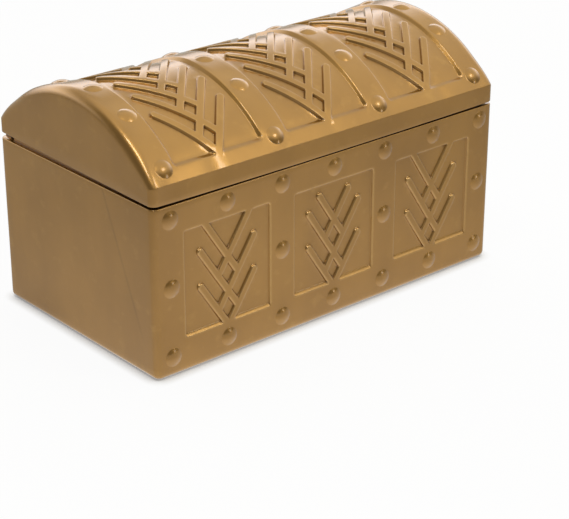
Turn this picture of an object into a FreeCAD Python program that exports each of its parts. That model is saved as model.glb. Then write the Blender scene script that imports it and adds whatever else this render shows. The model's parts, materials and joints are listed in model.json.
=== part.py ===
"""Treasure chest box: a moulded tub and a barrel lid, strapped, riveted and hinged at the back.

X runs along the chest, the front faces -Y, Z is up.  The origin is the middle of the underside.
All sizes are in millimetres.
"""
import FreeCAD, Part
import math
import os

# Outside of the chest
chest_length = 178.0
chest_depth = 101.0
shoulder_height = 70.0      # top of the tub's outer rim
front_seam = 0.9            # open line between tub and closed lid, at the front
back_seam = 2.3             # and at the back, where the hinge holds the lid higher
lip_height = 7.5            # upright lip of the lid, from its front edge to the crease
barrel_rise = 24.3          # crest of the lid's straps above the crease
crease_radius = 2.0         # where the upright lip turns into the barrel
corner_radius = 3.0         # upright corners and the edges round the lid's ends
foot_radius = 2.5           # edge round the underside

# Walls
tub_wall = 3.4
tub_floor = 2.8
tub_inner_radius = 2.0
tub_floor_radius = 1.5
lid_wall = 2.4              # lip and ends of the lid
lid_crown = 2.7             # barrel of the lid
lid_inner_radius = 1.2

# Locating tongue on the tub and the rebate in the lid that drops over it
skirt_thickness = 1.5
tongue_clearance = 0.3
tongue_height = 3.0         # front strip, on which the closed lid rests
tongue_relief = 0.4         # the other strips stop this much lower
tongue_corner_gap = 8.0     # strips end this far from the outside corners
tongue_hinge_gap = 1.0      # and this far from the hinge knuckles
tongue_root = 1.0           # depth to which a strip is rooted in the rim

# Strap frame: sunken panels, and rivets on the straps
panel_columns = (-1, 0, 1)
strap_width = 12.9          # upright strap between two panels
front_panel_bottom = 14.6
front_panel_drop = 12.0     # panel's upper edge below the rim
front_panel_sink = 1.0
lid_panel_edge = 6.66       # along the barrel, from a panel's edge to the crease
lid_panel_sink = 1.3
rivet_diameter = 7.6
rivet_height = 1.0
rivet_seat = 0.5            # depth to which a rivet's root is sunk in the wall
rivet_fillet = 0.5
rivet_columns = 7
rivet_edge = 7.91           # outer columns to the chest's ends
rivet_top_drop = 5.6        # top row below the rim
rivet_middle = 36.8         # middle row, on the straps alone
rivet_bottom = 8.2
lid_strap_edge = 8.9        # outer rivets of the lid to the chest's ends
lid_rivet_lead = 3.5        # along the barrel, from the crest forward to the middle rivet
lid_rivet_pitch = 22.0      # along the barrel, from the middle rivet to the next ones
lid_rivet_edge = 6.0        # along the barrel, from the front rivet to the crease
cut_margin = 1.0            # cuts run this far past the surface that they open

# Chevron ribs on the front panels, level with the straps
front_rib_width = 3.3
front_rib_slope = 1.52      # rise over run
front_rib_span = 12.95      # from the middle of the panel to a rib's tip
front_rib_sink = 1.4        # point of the first chevron below the panel's lower edge
front_rib_pitch = 14.5
front_rib_count = 3
front_top_span_middle = 7.5     # top chevron stops inside the middle panel
front_top_span_outer = 13.0     # and runs into the strap on the outer panels

# Chevron ribs on the lid, straight as seen from above, pointing to the front
lid_rib_width = 3.2
lid_rib_slope = 1.19
lid_rib_span = 15.7
lid_rib_pitch = 11.5
lid_rib_inset = 4.25        # point of the first chevron behind the front
rib_root_inset = 0.4        # a rib's root stops this far, along X, short of the next rib's middle

# Pinned hinge in the back wall: an ear of the lid between two open-topped knuckles of the tub
hinge_setback = 2.1         # pin line to the outside of the back wall
hinge_drop = 2.85           # pin line below the lid's back edge
pin_diameter = 2.0
pin_press = 0.02            # the pin is this much thicker than its hole in the lid's ear
pin_running_gap = 0.05      # round the pin in the tub's knuckles
pin_end_gap = 0.2
pin_entry = 1.7             # slot in the top of the knuckles, through which the pin snaps in
ear_inset = 9.5             # middle of the ear to the chest's end
ear_width = 7.0
ear_side_gap = 0.3
ear_reach = 4.3             # up the inside of the lid's back wall
notch_depth = 3.2           # below the pin line
knuckle_inset = 3.0         # outer knuckle to the chest's end
knuckle_length = 15.5
knuckle_wall = 1.0          # closed end of a knuckle, past the pin

# Values that follow from the ones above
front_face = -chest_depth / 2
front_lid_edge = shoulder_height + front_seam
back_lid_edge = shoulder_height + back_seam
crest_height = front_lid_edge + lip_height + barrel_rise
barrel_radius = (barrel_rise ** 2 + (chest_depth / 2) ** 2) / (2 * barrel_rise)
barrel_axis = crest_height - barrel_radius
crease_angle = math.asin((chest_depth / 2 - crease_radius) / (barrel_radius - crease_radius))
front_tongue_top = shoulder_height + tongue_height
front_panel_top = shoulder_height - front_panel_drop
rivet_column_pitch = (chest_length - 2 * rivet_edge) / (rivet_columns - 1)
rivet_sphere = ((rivet_diameter / 2) ** 2 + rivet_height ** 2) / (2 * rivet_height)
panel_pitch = 2 * rivet_column_pitch
panel_width = panel_pitch - strap_width
lid_panel_angle = crease_angle - lid_panel_edge / barrel_radius
lid_rivet_reach = crease_angle * barrel_radius - lid_rivet_edge - lid_rivet_lead
lid_rivet_angles = [(lid_rivet_lead + step) / barrel_radius for step in
                    (-lid_rivet_reach, -lid_rivet_pitch, 0, lid_rivet_pitch, lid_rivet_reach)]
lid_strap_columns = (panel_pitch / 2, chest_length / 2 - lid_strap_edge)
lid_rib_count = int((chest_depth - lid_rib_inset) / lid_rib_pitch) + 1
hinge_y = chest_depth / 2 - hinge_setback
hinge_z = back_lid_edge - hinge_drop
ear_middle = chest_length / 2 - ear_inset
knuckle_end = chest_length / 2 - knuckle_inset
knuckle_start = knuckle_end - knuckle_length


def vec(x, y, z):
    return FreeCAD.Vector(x, y, z)


def span_box(x_range, y_range, z_range):
    """Box between two values along each axis."""
    low, high = zip(x_range, y_range, z_range)
    sides = [b - a for a, b in zip(low, high)]
    return Part.makeBox(*sides, vec(*low))


def rounded_block(length, depth, bottom, top, radius):
    """Upright block about the Z axis with rounded upright edges."""
    block = span_box((-length / 2, length / 2), (-depth / 2, depth / 2), (bottom, top))
    upright = [edge for edge in block.Edges if edge.BoundBox.ZLength > (top - bottom) / 2]
    return block.makeFillet(radius, upright)


def round_underside(block, bottom, radius):
    """Round the edges that lie in the plane z = bottom."""
    rim = [edge for edge in block.Edges if abs(edge.BoundBox.ZMax - bottom) < 0.001]
    return block.makeFillet(radius, rim)


def lid_block(length, depth, radius, crease, end_radius, front_bottom, back_bottom):
    """Barrel-topped block: upright lips, an arc over the top, rounded round both ends."""
    half = depth / 2
    turn_height = barrel_axis + math.sqrt((radius - crease) ** 2 - (half - crease) ** 2)
    turn = vec(0, half - crease, turn_height)
    crown_middle = vec(0, 0, barrel_axis)
    outward = (turn - crown_middle).normalize()
    bisector = (outward + vec(0, 1, 0)).normalize()
    back_low = vec(0, half, back_bottom)
    front_low = vec(0, -half, front_bottom)
    lip_high = vec(0, half, turn_height)
    turn_middle = turn + bisector * crease
    turn_end = turn + outward * crease

    def mirrored(point):
        return vec(0, -point.y, point.z)

    edges = [
        Part.LineSegment(back_low, lip_high).toShape(),
        Part.Arc(lip_high, turn_middle, turn_end).toShape(),
        Part.Arc(turn_end, vec(0, 0, barrel_axis + radius), mirrored(turn_end)).toShape(),
        Part.Arc(mirrored(turn_end), mirrored(turn_middle), mirrored(lip_high)).toShape(),
        Part.LineSegment(mirrored(lip_high), front_low).toShape(),
        Part.LineSegment(front_low, back_low).toShape(),
    ]
    profile = Part.Face(Part.Wire(edges))
    profile.translate(vec(-length / 2, 0, 0))
    block = profile.extrude(vec(length, 0, 0))
    ends = [edge for edge in block.Edges
            if edge.BoundBox.XLength < 0.001 and edge.BoundBox.ZMax > turn_height - 0.001]
    return block.makeFillet(end_radius, ends)


def rib(tip, root, width, height):
    """Round-ended bar standing on the XY plane, from tip to root."""
    run = root - tip
    side = vec(-run.y, run.x, 0).normalize() * (width / 2)
    along = vec(run.x, run.y, 0).normalize() * (width / 2)
    edges = [
        Part.LineSegment(tip + side, root + side).toShape(),
        Part.Arc(root + side, root + along, root - side).toShape(),
        Part.LineSegment(root - side, tip - side).toShape(),
        Part.Arc(tip - side, tip - along, tip + side).toShape(),
    ]
    return Part.Face(Part.Wire(edges)).extrude(vec(0, 0, height))


def chevron(middle, crossing, span, overrun, slope, width, height):
    """Two crossed ribs that point towards -Y; each runs on past the middle line by overrun."""
    ribs = []
    for side in (-1, 1):
        tip = vec(middle + side * span, crossing + slope * span, 0)
        root = vec(middle - side * overrun, crossing - slope * overrun, 0)
        ribs.append(rib(tip, root, width, height))
    return ribs


def rivet():
    """Low domed head that stands on the XY plane, with its root below it."""
    root_height = rivet_sphere - rivet_height - rivet_seat
    latitude = math.degrees(math.asin(root_height / rivet_sphere))
    dome = Part.makeSphere(rivet_sphere, vec(0, 0, 0), vec(0, 0, 1), latitude, 90, 360)
    dome.translate(vec(0, 0, rivet_height - rivet_sphere))
    return dome


def hinge_cylinder(start, end, radius):
    """Cylinder along the hinge line between two places on X."""
    low, high = sorted((start, end))
    return Part.makeCylinder(radius, high - low, vec(low, hinge_y, hinge_z), vec(1, 0, 0))


def front_panels():
    """The three sunken panels of the front, with their chevrons left standing."""
    depth = front_panel_sink + cut_margin
    overrun = front_rib_pitch / (2 * front_rib_slope) - rib_root_inset
    panels = []
    for column in panel_columns:
        middle = column * panel_pitch
        top_span = front_top_span_outer if column else front_top_span_middle
        pocket = span_box((middle - panel_width / 2, middle + panel_width / 2),
                          (front_panel_bottom, front_panel_top), (0, depth))
        ribs = []
        for row in range(front_rib_count):
            crossing = front_panel_bottom - front_rib_sink + row * front_rib_pitch
            span = top_span if row == front_rib_count - 1 else front_rib_span
            ribs += chevron(middle, crossing, span, overrun, front_rib_slope,
                            front_rib_width, depth)
        panels.append(pocket.cut(ribs))
    pattern = Part.makeCompound(panels)
    pattern.rotate(vec(0, 0, 0), vec(1, 0, 0), 90)
    pattern.translate(vec(0, front_face + front_panel_sink, 0))
    return pattern.Solids


def lid_panels():
    """The three sunken panels of the lid, with their chevrons left standing."""
    inner = barrel_radius - lid_panel_sink
    outer = barrel_radius + cut_margin

    def on_barrel(radius, angle):
        return vec(0, radius * math.sin(angle), barrel_axis + radius * math.cos(angle))

    edges = [
        Part.Arc(on_barrel(inner, -lid_panel_angle), on_barrel(inner, 0),
                 on_barrel(inner, lid_panel_angle)).toShape(),
        Part.LineSegment(on_barrel(inner, lid_panel_angle), on_barrel(outer, lid_panel_angle)).toShape(),
        Part.Arc(on_barrel(outer, lid_panel_angle), on_barrel(outer, 0),
                 on_barrel(outer, -lid_panel_angle)).toShape(),
        Part.LineSegment(on_barrel(outer, -lid_panel_angle), on_barrel(inner, -lid_panel_angle)).toShape(),
    ]
    section = Part.Face(Part.Wire(edges))
    overrun = lid_rib_pitch / (2 * lid_rib_slope) - rib_root_inset
    panels = []
    for column in panel_columns:
        middle = column * panel_pitch
        pocket = section.extrude(vec(panel_width, 0, 0))
        pocket.translate(vec(middle - panel_width / 2, 0, 0))
        ribs = []
        for row in range(lid_rib_count):
            crossing = front_face + lid_rib_inset + row * lid_rib_pitch
            ribs += chevron(middle, crossing, lid_rib_span, overrun, lid_rib_slope,
                            lid_rib_width, crest_height + 2 * cut_margin)
        panels.append(pocket.cut(ribs))
    return [solid for panel in panels for solid in panel.Solids]


def front_rivets():
    """Rivet heads on the front: seven columns, the middle row only on the straps."""
    rows = ((shoulder_height - rivet_top_drop, 1), (rivet_middle, 2), (rivet_bottom, 1))
    heads = []
    for height, step in rows:
        for column in range(0, rivet_columns, step):
            head = rivet()
            head.rotate(vec(0, 0, 0), vec(1, 0, 0), 90)
            across = (column - rivet_columns // 2) * rivet_column_pitch
            head.translate(vec(across, front_face, height))
            heads.append(head)
    return heads


def lid_rivets():
    """Rivet heads along the four hoop straps of the lid."""
    heads = []
    for column in lid_strap_columns:
        for across in (-column, column):
            for angle in lid_rivet_angles:
                head = rivet()
                head.translate(vec(across, 0, crest_height))
                head.rotate(vec(0, 0, barrel_axis), vec(1, 0, 0), math.degrees(angle))
                heads.append(head)
    return heads


def tongue_strips():
    """Straight strips that stand on the tub's rim, just inside the lid's skirt."""
    outer_y = chest_depth / 2 - skirt_thickness - tongue_clearance
    inner_y = chest_depth / 2 - tub_wall
    outer_x = chest_length / 2 - skirt_thickness - tongue_clearance
    inner_x = chest_length / 2 - tub_wall
    foot = shoulder_height - tongue_root
    side_top = front_tongue_top - tongue_relief
    front_end = chest_length / 2 - tongue_corner_gap
    side_end = chest_depth / 2 - tongue_corner_gap
    back_end = knuckle_start - tongue_hinge_gap
    return [
        span_box((-front_end, front_end), (-outer_y, -inner_y), (foot, front_tongue_top)),
        span_box((-back_end, back_end), (inner_y, outer_y), (foot, side_top)),
        span_box((inner_x, outer_x), (-side_end, side_end), (foot, side_top)),
        span_box((-outer_x, -inner_x), (-side_end, side_end), (foot, side_top)),
    ]


def base_tub():
    """The tub: walls, floor, rim with its tongue, front relief and hinge knuckles."""
    body = rounded_block(chest_length, chest_depth, 0, shoulder_height, corner_radius)
    body = round_underside(body, 0, foot_radius)
    hollow = rounded_block(chest_length - 2 * tub_wall, chest_depth - 2 * tub_wall,
                           tub_floor, crest_height, tub_inner_radius)
    hollow = round_underside(hollow, tub_floor, tub_floor_radius)
    body = body.cut(hollow).fuse(tongue_strips())

    notch_inner = ear_middle - ear_width / 2 - ear_side_gap
    notch_outer = ear_middle + ear_width / 2 + ear_side_gap
    bore_inner = knuckle_start + knuckle_wall
    bore_outer = knuckle_end - knuckle_wall
    for side in (-1, 1):
        knuckles = hinge_cylinder(side * knuckle_start, side * knuckle_end, hinge_setback)
        notch = span_box(sorted((side * notch_inner, side * notch_outer)),
                         (hinge_y - 2 * hinge_setback, chest_depth),
                         (hinge_z - notch_depth, crest_height))
        bore = hinge_cylinder(side * bore_inner, side * bore_outer,
                              pin_diameter / 2 + pin_running_gap)
        entry = span_box(sorted((side * bore_inner, side * bore_outer)),
                         (hinge_y - pin_entry / 2, hinge_y + pin_entry / 2),
                         (hinge_z, crest_height))
        body = body.fuse(knuckles).cut([notch, bore, entry])

    body = body.cut(front_panels()).fuse(front_rivets())
    return fillet_rivets(body)


def fillet_rivets(body):
    """Soften the line where each rivet head meets the flat front."""
    feet = [edge for edge in body.Edges
            if abs(edge.BoundBox.XLength - rivet_diameter) < 0.01
            and edge.BoundBox.YLength < 0.01 and not edge.Degenerated]
    return body.makeFillet(rivet_fillet, feet)


def lid_shell():
    """The lid: barrel shell, rebate over the tongue, strap relief and hinge ears."""
    body = lid_block(chest_length, chest_depth, barrel_radius, crease_radius, corner_radius,
                     front_lid_edge, back_lid_edge)
    hollow = lid_block(chest_length - 2 * lid_wall, chest_depth - 2 * lid_wall,
                       barrel_radius - lid_crown, lid_inner_radius, lid_inner_radius,
                       shoulder_height, shoulder_height)
    rebate = rounded_block(chest_length - 2 * skirt_thickness, chest_depth - 2 * skirt_thickness,
                           shoulder_height, front_tongue_top, corner_radius - skirt_thickness)
    body = body.cut([hollow, rebate])

    for side in (-1, 1):
        x_range = (side * ear_middle - ear_width / 2, side * ear_middle + ear_width / 2)
        plate = span_box(x_range, (hinge_y - hinge_setback, chest_depth / 2),
                         (hinge_z, back_lid_edge + ear_reach))
        eye = hinge_cylinder(*x_range, hinge_setback)
        bore = hinge_cylinder(*x_range, (pin_diameter - pin_press) / 2)
        body = body.fuse([plate, eye]).cut(bore)

    return body.cut(lid_panels()).fuse(lid_rivets())


def hinge_pin(side):
    """Plain pin, held in the lid's ear and turning in the tub's knuckles."""
    return hinge_cylinder(side * (knuckle_start + knuckle_wall + pin_end_gap),
                          side * (knuckle_end - knuckle_wall - pin_end_gap), pin_diameter / 2)


nodes = {
    "base_tub": base_tub(),
    "lid_shell": lid_shell(),
    "hinge_pin_left": hinge_pin(-1),
    "hinge_pin_right": hinge_pin(1),
}

os.makedirs("parts", exist_ok=True)
for name, shape in nodes.items():
    solid = shape.removeSplitter()
    box = solid.optimalBoundingBox(False)
    print(name, "valid" if solid.isValid() else "NOT VALID", len(solid.Solids), "solid",
          f"volume {solid.Volume:.1f}", f"x {box.XMin:.2f} {box.XMax:.2f}",
          f"y {box.YMin:.2f} {box.YMax:.2f}", f"z {box.ZMin:.2f} {box.ZMax:.2f}")
    solid.exportStep(f"parts/{name}.step")
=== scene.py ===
"""Treasure chest box: the dressed tub, lid and hinge pins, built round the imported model.

Lengths are kept in metres in the properties and worked with in millimetres in the mesh code.
"""
import json
import math
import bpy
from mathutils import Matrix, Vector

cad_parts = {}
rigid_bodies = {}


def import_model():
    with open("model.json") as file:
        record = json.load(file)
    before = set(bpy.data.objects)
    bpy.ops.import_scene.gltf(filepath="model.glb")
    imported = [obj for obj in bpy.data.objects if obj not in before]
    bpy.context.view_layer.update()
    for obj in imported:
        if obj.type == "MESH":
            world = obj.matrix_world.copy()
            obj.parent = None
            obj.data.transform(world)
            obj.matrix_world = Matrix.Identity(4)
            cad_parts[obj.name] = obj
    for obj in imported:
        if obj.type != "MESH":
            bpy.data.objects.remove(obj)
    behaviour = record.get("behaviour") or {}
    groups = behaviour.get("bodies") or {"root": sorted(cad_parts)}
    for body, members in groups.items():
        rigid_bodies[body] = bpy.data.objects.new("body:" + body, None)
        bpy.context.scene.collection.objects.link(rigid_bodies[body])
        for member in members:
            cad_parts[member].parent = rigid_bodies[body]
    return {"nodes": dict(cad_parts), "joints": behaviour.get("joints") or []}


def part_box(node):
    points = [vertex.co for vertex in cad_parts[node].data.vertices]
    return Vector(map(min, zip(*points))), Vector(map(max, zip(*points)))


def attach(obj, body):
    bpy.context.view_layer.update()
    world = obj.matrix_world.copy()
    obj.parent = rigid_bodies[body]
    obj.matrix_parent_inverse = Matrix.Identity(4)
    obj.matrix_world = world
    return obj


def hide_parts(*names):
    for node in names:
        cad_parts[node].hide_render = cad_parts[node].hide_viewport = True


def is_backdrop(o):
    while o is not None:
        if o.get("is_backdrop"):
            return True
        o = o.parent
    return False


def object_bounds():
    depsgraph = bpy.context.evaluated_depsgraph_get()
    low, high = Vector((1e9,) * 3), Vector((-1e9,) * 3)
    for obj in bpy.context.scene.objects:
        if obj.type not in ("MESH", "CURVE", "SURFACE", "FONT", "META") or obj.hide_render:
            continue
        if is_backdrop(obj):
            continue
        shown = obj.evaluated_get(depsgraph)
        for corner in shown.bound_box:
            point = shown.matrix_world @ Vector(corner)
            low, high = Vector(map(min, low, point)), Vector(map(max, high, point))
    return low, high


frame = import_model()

from types import SimpleNamespace

import bmesh
import bpy
import numpy as np
from mathutils import Euler, Vector
from mathutils.geometry import delaunay_2d_cdt

bl_info = {
    "name": "Treasure chest box",
    "version": (1, 0, 0),
    "blender": (4, 5, 0),
    "location": "View3D > Sidebar > Chest",
    "description": "Builds a moulded treasure chest box with its barrel lid and hinge pins",
    "category": "Add Mesh",
}

MM = 0.001
QUARTER = math.pi / 2
PINS = ("hinge_pin_left", "hinge_pin_right")

# Fineness of the meshes: distances in millimetres, and steps round a turn or up the lip.
WELD = 0.002
WALL_STEP, END_STEP, BARREL_STEP = 2.0, 3.0, 2.0
INSIDE_STEP, BARREL_INSIDE_STEP = 12.0, 4.0
CORNER_STEPS, FOOT_STEPS, FLOOR_STEPS, ROUND_STEPS = 8, 6, 5, 4
LID_END_STEPS, LID_EDGE_STEPS, LIP_STEPS, CREASE_STEPS = 7, 3, 4, 5
SHARP_ANGLE = math.radians(72)

# Strips, bars and cuts in millimetres: their roundings, and how far they run past a face or
# stop short of it, so that no two faces coincide.
TONGUE_ROOT, TONGUE_OVERLAP, TONGUE_ROUND = 1.0, 0.4, 0.3
KNUCKLE_EASE, EAR_EASE, EAR_ROOT_EASE, EAR_ROUND, EAR_BORE_PAST = 0.02, 0.03, 0.06, 0.5, 1.0
LID_HOLLOW_DROP, LID_REBATE_DROP = 3.0, 4.0

# Sinks of the lid's front band: places along the front in millimetres, and their strength.
SINK_MARKS = ((-58.5, 1.0), (0.0, 0.4), (60.0, 0.8))
SINK_MARK_WIDTH = 3.0

# Name, place, target, width and height of each lamp in metres.
LAMPS = (("key", (0.58, -1.03, 1.2), (0, 0, 0.05), 0.4, 0.4),
         ("glint", (0.82, -1.29, 0.19), (0, -0.05, 0.05), 0.24, 0.24),
         ("strip", (-0.57, -0.36, 1.32), (0, -0.36, 0.05), 0.65, 0.19))

# Reach in metres of the painted highlight along the edges, of the painted shade in corners and of
# the shadow at the foot.
EDGE_HIGHLIGHT_REACH, CORNER_SHADE_REACH, FOOT_REACH = 0.0011, 0.0016, 0.0045
OCCLUSION_SAMPLES = 8

cad_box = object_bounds()
tub_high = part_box("base_tub")[1] / MM
hinge_place = Vector(frame["joints"][0]["pos_m"]) / MM


def size(name, description, millimetres):
    """A length whose default is given in millimetres."""
    return bpy.props.FloatProperty(name=name, description=description, unit="LENGTH",
                                   default=millimetres * MM, precision=5)


def amount(name, description, value):
    """A plain number."""
    return bpy.props.FloatProperty(name=name, description=description, default=value)


def share(name, description, value):
    """A number from 0 to 1."""
    return bpy.props.FloatProperty(name=name, description=description, default=value,
                                   subtype="FACTOR", min=0.0, max=1.0)


def count(name, description, value):
    """A whole number."""
    return bpy.props.IntProperty(name=name, description=description, default=value, min=1)


def steepness(name, description, degrees):
    """An angle whose default is given in degrees."""
    return bpy.props.FloatProperty(name=name, description=description, subtype="ANGLE",
                                   default=math.radians(degrees))


def tint(name, description, *value):
    """A colour in linear light."""
    return bpy.props.FloatVectorProperty(name=name, description=description, default=value,
                                         subtype="COLOR", size=3, min=0.0, max=1.0)


def place(name, description, *millimetres):
    """A point whose default is given in millimetres."""
    return bpy.props.FloatVectorProperty(name=name, description=description, size=3,
                                         subtype="TRANSLATION", unit="LENGTH",
                                         default=[c * MM for c in millimetres])


class ChestForm(bpy.types.PropertyGroup):
    """Outside, walls and rim of the chest."""

    length: size("Length", "Outside length", 2 * tub_high.x)
    depth: size("Depth", "Outside depth, without the rivets", 2 * tub_high.y)
    rim_height: size("Rim height", "Top of the tub's outer rim", 70.0)
    tongue_top: size("Tongue top", "Top of the front tongue, on which the lid rests", tub_high.z)
    front_seam: size("Front seam", "Open line below the lid at the front corners", 0.9)
    back_seam: size("Back seam", "Open line below the lid at the back", 2.3)
    seam_bow: size("Seam bow", "How far the middle of the lid's front edge sags", 0.6)
    lip_height: size("Lip height", "Upright lip of the lid", 7.5)
    lip_lean: size("Lip lean", "How far the lip's upper edge stands back", 0.4)
    barrel_rise: size("Barrel rise", "Crest of the lid above its crease", 24.3)
    crease_radius: size("Crease radius", "Turn from the lip into the barrel", 0.8)
    corner_radius: size("Corner radius", "Upright corners and the lid's ends", 3.0)
    shoulder: size("Shoulder", "Larger rounding added where the barrel meets its ends", 1.6)
    foot_radius: size("Foot radius", "Edge round the underside", 2.5)
    edge_round: size("Edge rounding", "Small rounding along rim and lid edge", 0.45)
    tub_wall: size("Tub wall", "Thickness of the tub's walls", 3.4)
    tub_floor: size("Tub floor", "Thickness of the tub's floor", 2.8)
    tub_inner_radius: size("Tub inner radius", "Upright corners inside the tub", 2.0)
    tub_floor_radius: size("Tub floor radius", "Edge round the tub's floor", 1.5)
    lid_wall: size("Lid wall", "Thickness of the lid's lip and ends", 2.4)
    lid_crown: size("Lid crown", "Thickness of the lid's barrel", 2.7)
    lid_inner_radius: size("Lid inner radius", "Edges inside the lid", 1.2)
    skirt: size("Skirt", "Thickness of the lid's lower edge", 1.5)
    tongue_clearance: size("Tongue clearance", "Between tongue and skirt", 0.3)
    tongue_relief: size("Tongue relief", "How much lower the other strips are", 0.4)
    tongue_corner_gap: size("Tongue corner gap", "From a strip's end to the corner", 8.0)
    tongue_hinge_gap: size("Tongue hinge gap", "From the back strip to a knuckle", 1.0)
    ripple: size("Ripple", "Shallow unevenness of the moulded walls", 0.05)
    back_sag: size("Back sag", "How far the barrel sinks between its ends, behind the crest", 1.9)


class ReliefForm(bpy.types.PropertyGroup):
    """Straps, sunken panels, chevron ribs and rivets."""

    strap_width: size("Strap width", "Upright strap between two panels", 12.9)
    front_edge: size("Front edge", "Rounded upper edge of the front's straps and ribs", 0.62)
    lid_edge: size("Lid edge", "Rounded upper edge of the lid's ribs", 0.5)
    border_edge: size("Border edge", "Soft upper edge round the lid's panels", 1.0)
    root_radius: size("Root radius", "Hollow corner along the panels' floor", 0.35)
    front_slope: steepness("Front slope", "Steepness of the walls on the front", 75.0)
    lid_slope: steepness("Lid slope", "Steepness of the lid's ribs", 78.0)
    border_slope: steepness("Border slope", "Steepness of the wall round the lid's panels", 48.0)
    panel_corner: size("Panel corner", "Corner radius of the panels", 0.9)
    front_sink: size("Front sink", "Depth of the front panels", 1.0)
    front_bottom: size("Front panel bottom", "Height of the front panels' lower edge", 14.6)
    front_drop: size("Front panel drop", "Front panels' upper edge below the rim", 12.0)
    front_rib_width: size("Front rib width", "Across a rib of the front", 3.3)
    front_rib_slope: amount("Front rib slope", "Rise over run of the front ribs", 1.52)
    front_rib_span: size("Front rib span", "From a panel's middle to a rib's tip", 12.95)
    front_rib_sink: size("Front rib sink", "Lowest point below the panel's edge", 1.4)
    front_rib_pitch: size("Front rib pitch", "Between chevrons of the front", 14.5)
    front_rib_count: count("Front chevrons", "Chevrons on each front panel", 3)
    top_span_middle: size("Top span, middle", "Span of the middle panel's top chevron", 7.5)
    top_span_outer: size("Top span, outer", "Span of the outer panels' top chevron", 13.0)
    lid_sink: size("Lid sink", "Depth of the lid's panels", 1.3)
    lid_panel_edge: size("Lid panel edge", "Along the barrel from panel to crease", 6.66)
    lid_rib_width: size("Lid rib width", "Across a rib of the lid", 3.2)
    lid_rib_slope: amount("Lid rib slope", "Slope of the lid's ribs seen from above", 1.19)
    lid_rib_span: size("Lid rib span", "From a panel's middle to a rib's tip", 15.7)
    lid_rib_pitch: size("Lid rib pitch", "Between chevrons of the lid", 11.5)
    lid_rib_inset: size("Lid rib inset", "First chevron behind the front", 4.25)
    rib_root_inset: size("Rib root inset", "Root short of the next rib's middle", 0.4)
    rivet_diameter: size("Rivet diameter", "Across a rivet head", 7.6)
    rivet_height: size("Rivet height", "Height of a rivet head", 1.0)
    rivet_fillet: size("Rivet fillet", "Soft foot round a rivet head", 0.5)
    rivet_columns: count("Rivet columns", "Columns of rivets on the front", 7)
    rivet_edge: size("Rivet edge", "Outer columns to the ends", 7.91)
    rivet_top_drop: size("Rivet top drop", "Top row below the rim", 5.6)
    rivet_middle: size("Rivet middle", "Height of the middle row", 36.8)
    rivet_bottom: size("Rivet bottom", "Height of the bottom row", 8.2)
    lid_strap_edge: size("Lid strap edge", "Lid's outer rivets to the ends", 8.9)
    lid_rivet_lead: size("Lid rivet lead", "Along the barrel from crest to middle rivet", 3.5)
    lid_rivet_pitch: size("Lid rivet pitch", "Along the barrel from the middle rivet", 22.0)
    lid_rivet_edge: size("Lid rivet edge", "Along the barrel from rivet to crease", 6.0)
    sink_mark: size("Sink mark", "Shallow sink in the lid's front band", 0.3)


class HingeForm(bpy.types.PropertyGroup):
    """Ears, knuckles and bores of the hinge."""

    setback: size("Setback", "Pin line to the outside of the back wall", 2.1)
    bore: size("Bore", "Radius of the tub's bores", 1.05)
    ear_bore: size("Ear bore", "Radius of the hole in the lid's ear", 0.99)
    entry: size("Entry", "Slot through which the pin snaps in", 1.7)
    ear_inset: size("Ear inset", "Middle of the ear to the chest's end", 9.5)
    ear_width: size("Ear width", "Width of the lid's ear", 7.0)
    ear_side_gap: size("Ear side gap", "Beside the ear in its notch", 0.3)
    ear_top: size("Ear top", "Height of the ear's root inside the lid", 76.6)
    notch_depth: size("Notch depth", "Notch below the pin line", 3.2)
    knuckle_inset: size("Knuckle inset", "Outer knuckle to the chest's end", 3.0)
    knuckle_length: size("Knuckle length", "Length of the knuckles with the notch", 15.5)
    knuckle_wall: size("Knuckle wall", "Closed end past the pin", 1.0)


class GoldLook(bpy.types.PropertyGroup):
    """Finish of the gold plastic and the steel pins."""

    gold: tint("Gold", "Main colour of the plastic", 0.465, 0.243, 0.051)
    gold_dark: tint("Dark gold", "Browner gold in clouds and flow lines", 0.375, 0.192, 0.040)
    gold_worn: tint("Worn gold", "Paler gold in rubbed patches", 0.55, 0.31, 0.075)
    # Painted shade: dark brown laid into narrow corners, where shade falls.
    grime: tint("Grime", "Brown that gathers in narrow corners", 0.13, 0.058, 0.012)
    # Painted highlight: bright gold laid along the edges, where they catch the light.
    ridge: tint("Ridge", "Bright gold along rubbed edges", 0.95, 0.64, 0.27)
    gold_glance: tint("Glancing gold", "Colour of the gloss seen askance", 0.88, 0.73, 0.52)
    metallic: share("Metallic", "How metallic the pigment looks", 0.82)
    roughness: share("Roughness", "Gloss of the moulded skin", 0.30)
    coat: share("Coat", "Clear skin over the pigment", 1.0)
    coat_roughness: share("Coat roughness", "Gloss of the clear skin", 0.1)
    steel: tint("Steel", "Colour of the hinge pins", 0.55, 0.53, 0.50)
    steel_roughness: share("Steel roughness", "Gloss of the hinge pins", 0.32)


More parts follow.
